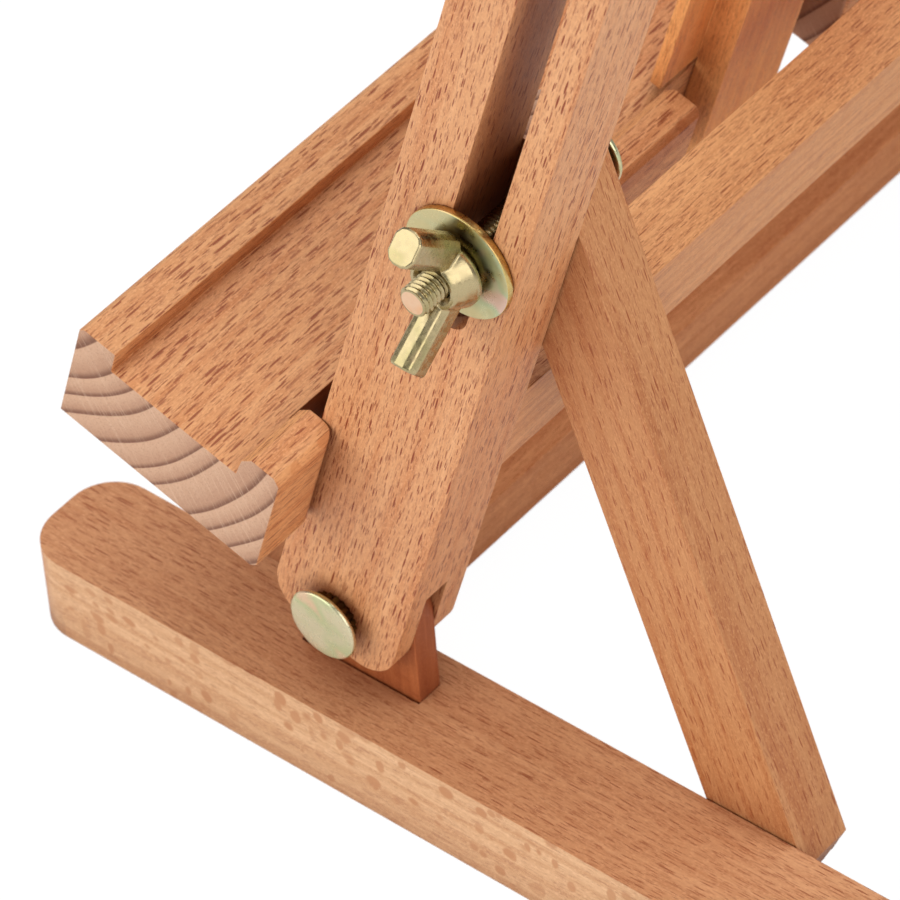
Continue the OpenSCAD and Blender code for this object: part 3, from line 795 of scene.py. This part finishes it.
# ---------------------------------------------------------------- the hardware in its places
def side_hardware(word, side, flip):
    """The wing bolt, the hinge bolt and the strut's two bolts on one side of the easel."""
    slider = f"lean_slider_{word}"
    at = LEANING @ shift(0, SLOT_OFFSET, WING_V) @ flip
    inner = at @ shift(HALF_CLEAR + GAP, 0, 0)
    bolt = f"wing_bolt_thread_{word}"
    bolt_with_thread(bolt, 0.0, 1.0, WING_BOLT_L, slider, [f"lean_bolt_{word}"], inner)
    seat = at @ shift(OUTER_X + GAP, 0, 0)
    washer(f"wing_bolt_washer_{word}", slider, [f"lean_washer_{word}"], seat)
    on_washer = at @ shift(OUTER_X + WASHER_T + 2 * GAP, 0, 0) @ turn(WING_TURN * side, "X")
    wing_nut(f"wing_nut_{word}", f"lean_nut_{word}", [f"lean_wing_nut_{word}"], on_washer)

    hinge = shift(0, HINGE_Y, HINGE_Z) @ flip
    outer = hinge @ shift(OUTER_X + GAP, 0, 0)
    flat_head_bolt(f"hinge_bolt_head_{word}", HINGE_BOLT_L, "base", [f"hinge_bolt_{word}"], outer)
    inner = hinge @ shift(HALF_CLEAR - GAP - CAP_NUT_T, 0, 0)
    cap_nut(f"hinge_dome_nut_{word}", "base", [f"hinge_cap_nut_{word}"], inner)

    foot = shift(0, HINGE_Y + STRUT_BEHIND, STRUT_Z)
    outer = foot @ flip @ shift(FOOT_OUTER_X + GAP, 0, 0)
    flat_head_bolt(f"strut_low_bolt_{word}", FOOT_BOLT_L, "base", [f"strut_foot_bolt_{word}"], outer)
    inner = foot @ flip @ shift(STRUT_X - STRUT_T + NUT_RECESS - GAP - CAP_NUT_T, 0, 0)
    cap_nut(f"strut_dome_nut_{word}", "base", [f"strut_foot_nut_{word}"], inner)

    eye = foot @ Matrix.Rotation(-STRUT_ANGLE, 4, "X") @ shift(0, 0, STRUT_LEN) @ flip
    inner = eye @ shift(STRUT_X - STRUT_T - GAP, 0, 0) @ HALF_TURN
    bolt, node = f"strut_top_bolt_head_{word}", f"strut_top_bolt_{word}"
    flat_head_bolt(bolt, STRUT_T - 0.2, f"strut_{word}", [node], inner)


def clamp_hardware(piece, node, body, nut_body, v, head_u, seat_u, plain_l, bolt_l):
    """A carriage bolt from front to back, with a washer and a wing nut on the back."""
    at = LEANING @ shift(0, 0, v)
    r, t = CARRIAGE_R, CARRIAGE_T
    head = [(0.0, 0.0), (0.0, r - 0.4), (0.3, r), (t, r), (t, 0.0)]
    front = at @ shift(0, head_u, 0) @ X_TO_Y
    bolt_with_thread(f"{piece}_bolt_thread", 2.0, plain_l, bolt_l, body, [f"{node}_bolt"], front, head)
    seat = at @ shift(0, seat_u + GAP, 0) @ X_TO_Y
    washer(f"{piece}_plain_washer", body, [f"{node}_washer"], seat)
    on_washer = at @ shift(0, seat_u + WASHER_T + 2 * GAP, 0) @ X_TO_Y @ turn(90, "X")
    wing_nut(f"{piece}_nut", nut_body, [f"{node}_wing_nut"], on_washer)


side_hardware("right", 1, AS_DRAWN)
side_hardware("left", -1, HALF_TURN)

lock_head_u = MAST_FRONT + MAST_GROOVE - GROOVE_GAP - CARRIAGE_T
lock = ("mast_lock", "mast_lock", "frame", "mast_lock_nut")
clamp_hardware(*lock, LOCK_V, lock_head_u, UPPER_BAR_BACK, 23.4, 37.3)
holder_head_u = HOLDER_FRONT + HOLDER_RECESS - CARRIAGE_T
holder = ("holder", "canvas_holder", "holder", "holder_nut")
clamp_hardware(*holder, HOLDER_V, holder_head_u, MAST_BACK, 24.9, 38.8)

signs = [(s, d) for s in (-1, 1) for d in (-1, 1)]
guide_spots = [(s * GUIDE_SCREW_X, MAST_FRONT, LOCK_V + d * GUIDE_SCREW_V) for s, d in signs]
cross_screws("guide_cross_screws", guide_spots, GUIDE_SCREW_L, "frame", ["mast_guide_screws"], LEANING)
lip_spots = [(s * LIP_SCREW_X, HOLDER_FRONT - LIP_T, HOLDER_V) for s in (-1, 1)]
cross_screws("holder_cross_screws", lip_spots, LIP_SCREW_L, "holder", ["canvas_holder_screws"], LEANING)

# ---------------------------------------------------------------- studio, in metres and watts
FLOOR_R = 6.0
FLOOR_Z = -0.0003
FLOOR_GLOW = 1.06
SKY_LIGHT = 0.30
SKY_SEEN = 0.75
AIM = Vector((0.08, -0.03, 0.12))
SOFTBOXES = (
    # name, place, size, power, colour
    ("key", (1.56, -1.03, 1.02), (2.2, 2.0), 25, (1.0, 0.98, 0.95)),
    ("fill", (0.9, 1.6, 1.0), (1.8, 1.6), 17.5, (1.0, 0.97, 0.94)),
    ("top", (-0.4, 0.1, 2.2), (1.8, 1.8), 24, (1.0, 1.0, 1.0)),
)


def floor_material():
    """Matt white that glows a little where the camera sees it."""
    m, s = empty_material("pale_floor")
    matt = s.node("ShaderNodeBsdfDiffuse")
    matt.inputs[0].default_value = (0.9, 0.9, 0.9, 1)
    glow = s.node("ShaderNodeEmission")
    glow.inputs[0].default_value = WHITE
    glow.inputs[1].default_value = FLOOR_GLOW
    seen = s.node("ShaderNodeLightPath").outputs["Is Camera Ray"]
    mix = s.node("ShaderNodeMixShader")
    s.put(mix.inputs[0], s.mul(seen, 0.92))
    s.link(matt.outputs[0], mix.inputs[1])
    s.link(glow.outputs[0], mix.inputs[2])
    s.link(mix.outputs[0], s.node("ShaderNodeOutputMaterial").inputs[0])
    return m


def studio_floor():
    bm = bmesh.new()
    bm.faces.new([bm.verts.new((x, y, FLOOR_Z)) for x, y in circle(48, FLOOR_R)])
    me = bpy.data.meshes.new("studio_floor")
    bm.to_mesh(me)
    bm.free()
    me.materials.append(floor_material())
    o = bpy.data.objects.new("studio_floor", me)
    bpy.context.scene.collection.objects.link(o)


def softbox(name, place, size, watts, colour):
    d = bpy.data.lights.new(name, "AREA")
    d.shape = "RECTANGLE"
    d.size, d.size_y = size
    d.energy = watts
    d.color = colour
    o = bpy.data.objects.new(name, d)
    o.location = place
    o.rotation_euler = (AIM - Vector(place)).to_track_quat("-Z", "Y").to_euler()
    bpy.context.scene.collection.objects.link(o)


def sky():
    """White surroundings, brighter to the camera than as a light."""
    w = bpy.data.worlds.new("studio")
    w.use_nodes = True
    background = w.node_tree.nodes["Background"]
    background.inputs[0].default_value = WHITE
    s = Shader(w.node_tree)
    seen = s.node("ShaderNodeLightPath").outputs["Is Camera Ray"]
    s.put(background.inputs[1], s.add(SKY_LIGHT, s.mul(seen, SKY_SEEN)))
    bpy.context.scene.world = w


studio_floor()
for row in SOFTBOXES:
    softbox(*row)
sky()

# ---------------------------------------------------------------- camera, in mm and degrees
# it looks from behind, outside and above the right-hand hinge
CAM_AZIMUTH = 132.78
CAM_ELEVATION = 44.33
CAM_ROLL = -4.83
CAM_TARGET = (99.38, -56.79, 60.0)
CAM_DISTANCE = 1246.0
CAM_LENS = 274.95
CAM_SENSOR = 36.0
CAM_STOP = 70.0
CAM_FOCUS = (130.0, -35.0, 140.0)


def camera():
    a, e, r = (math.radians(v) for v in (CAM_AZIMUTH, CAM_ELEVATION, CAM_ROLL))
    back = Vector((math.sin(a) * math.cos(e), -math.cos(a) * math.cos(e), math.sin(e)))
    right = Z_AXIS.cross(back).normalized()
    up = back.cross(right)
    right, up = right * math.cos(r) + up * math.sin(r), up * math.cos(r) - right * math.sin(r)
    focus = bpy.data.objects.new("focus", None)
    focus.location = Vector(CAM_FOCUS) * 0.001
    d = bpy.data.cameras.new("camera")
    d.lens = CAM_LENS
    d.sensor_width = CAM_SENSOR
    d.clip_start = 0.05
    d.clip_end = 60.0
    d.dof.use_dof = True
    d.dof.focus_object = focus
    d.dof.aperture_fstop = CAM_STOP
    o = bpy.data.objects.new("camera", d)
    m = Matrix((right, up, back)).transposed().to_4x4()
    m.translation = (Vector(CAM_TARGET) + back * CAM_DISTANCE) * 0.001
    o.matrix_world = m
    for staged in (o, focus):
        bpy.context.scene.collection.objects.link(staged)
    bpy.context.scene.camera = o


camera()
bpy.context.scene.view_settings.view_transform = "Standard"
